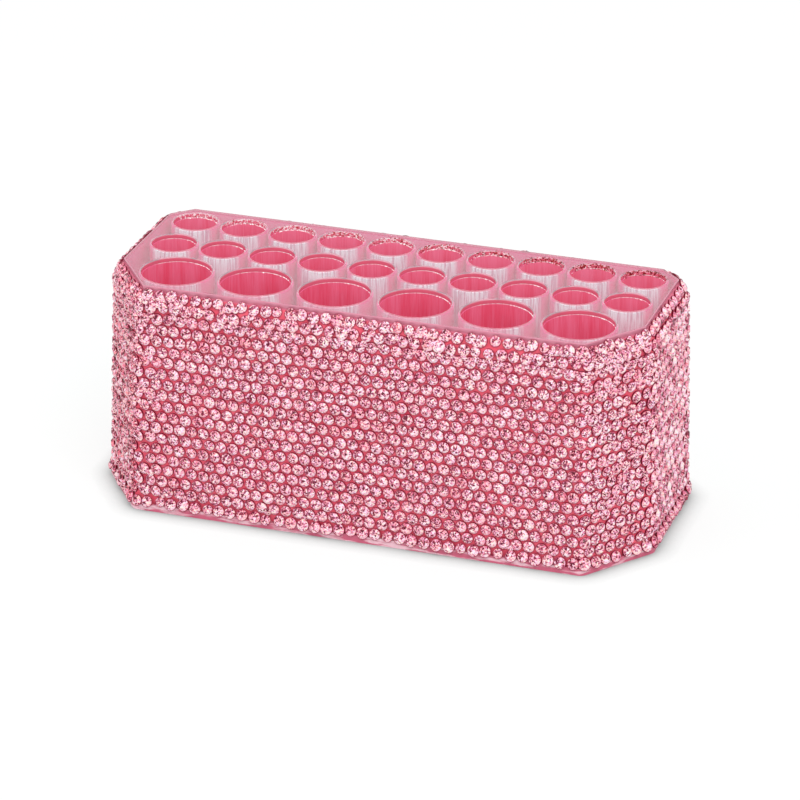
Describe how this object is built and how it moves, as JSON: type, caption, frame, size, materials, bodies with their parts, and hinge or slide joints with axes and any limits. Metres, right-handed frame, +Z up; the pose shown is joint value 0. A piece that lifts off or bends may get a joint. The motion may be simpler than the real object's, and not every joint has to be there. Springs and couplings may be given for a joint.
{
  "type": "makeup brush holder",
  "caption": "Eight-sided clear pink makeup brush holder with rows of round sockets in its flat top and rhinestone-covered sides that lean out to a flat base plate.",
  "frame": {"origin": "middle of the underside of the base plate", "axes": "+X runs along the length to the right as seen from the front, the front faces -Y, +Z is up"},
  "size_m": [0.2306, 0.0978, 0.095],
  "materials": {
    "top_acrylic": "clear tinted, polished",
    "base_acrylic": "clear tinted, polished",
    "wall_acrylic": "tinted, covered by stones",
    "tube_acrylic": "clear tinted, drawn tube",
    "rhinestone": "faceted, foiled"
  },
  "bodies": {
    "root": {"top_plate": "top_acrylic", "base_plate": "base_acrylic", "front_wall": "wall_acrylic", "front_right_wall": "wall_acrylic", "right_wall": "wall_acrylic", "back_right_wall": "wall_acrylic", "back_wall": "wall_acrylic", "back_left_wall": "wall_acrylic", "left_wall": "wall_acrylic", "front_left_wall": "wall_acrylic", "back_tube_01": "tube_acrylic", "back_tube_02": "tube_acrylic", "back_tube_03": "tube_acrylic", "back_tube_04": "tube_acrylic", "back_tube_05": "tube_acrylic", "back_tube_06": "tube_acrylic", "back_tube_07": "tube_acrylic", "back_tube_08": "tube_acrylic", "back_tube_09": "tube_acrylic", "back_tube_10": "tube_acrylic", "middle_tube_01": "tube_acrylic", "middle_tube_02": "tube_acrylic", "middle_tube_03": "tube_acrylic", "middle_tube_04": "tube_acrylic", "middle_tube_05": "tube_acrylic", "middle_tube_06": "tube_acrylic", "middle_tube_07": "tube_acrylic", "middle_tube_08": "tube_acrylic", "middle_tube_09": "tube_acrylic", "middle_tube_10": "tube_acrylic", "front_tube_1": "tube_acrylic", "front_tube_2": "tube_acrylic", "front_tube_3": "tube_acrylic", "front_tube_4": "tube_acrylic", "front_tube_5": "tube_acrylic", "front_tube_6": "tube_acrylic", "front_stones": "rhinestone", "front_right_stones": "rhinestone", "right_stones": "rhinestone", "back_right_stones": "rhinestone", "back_stones": "rhinestone", "back_left_stones": "rhinestone", "left_stones": "rhinestone", "front_left_stones": "rhinestone"}
  },
  "joints": []
}
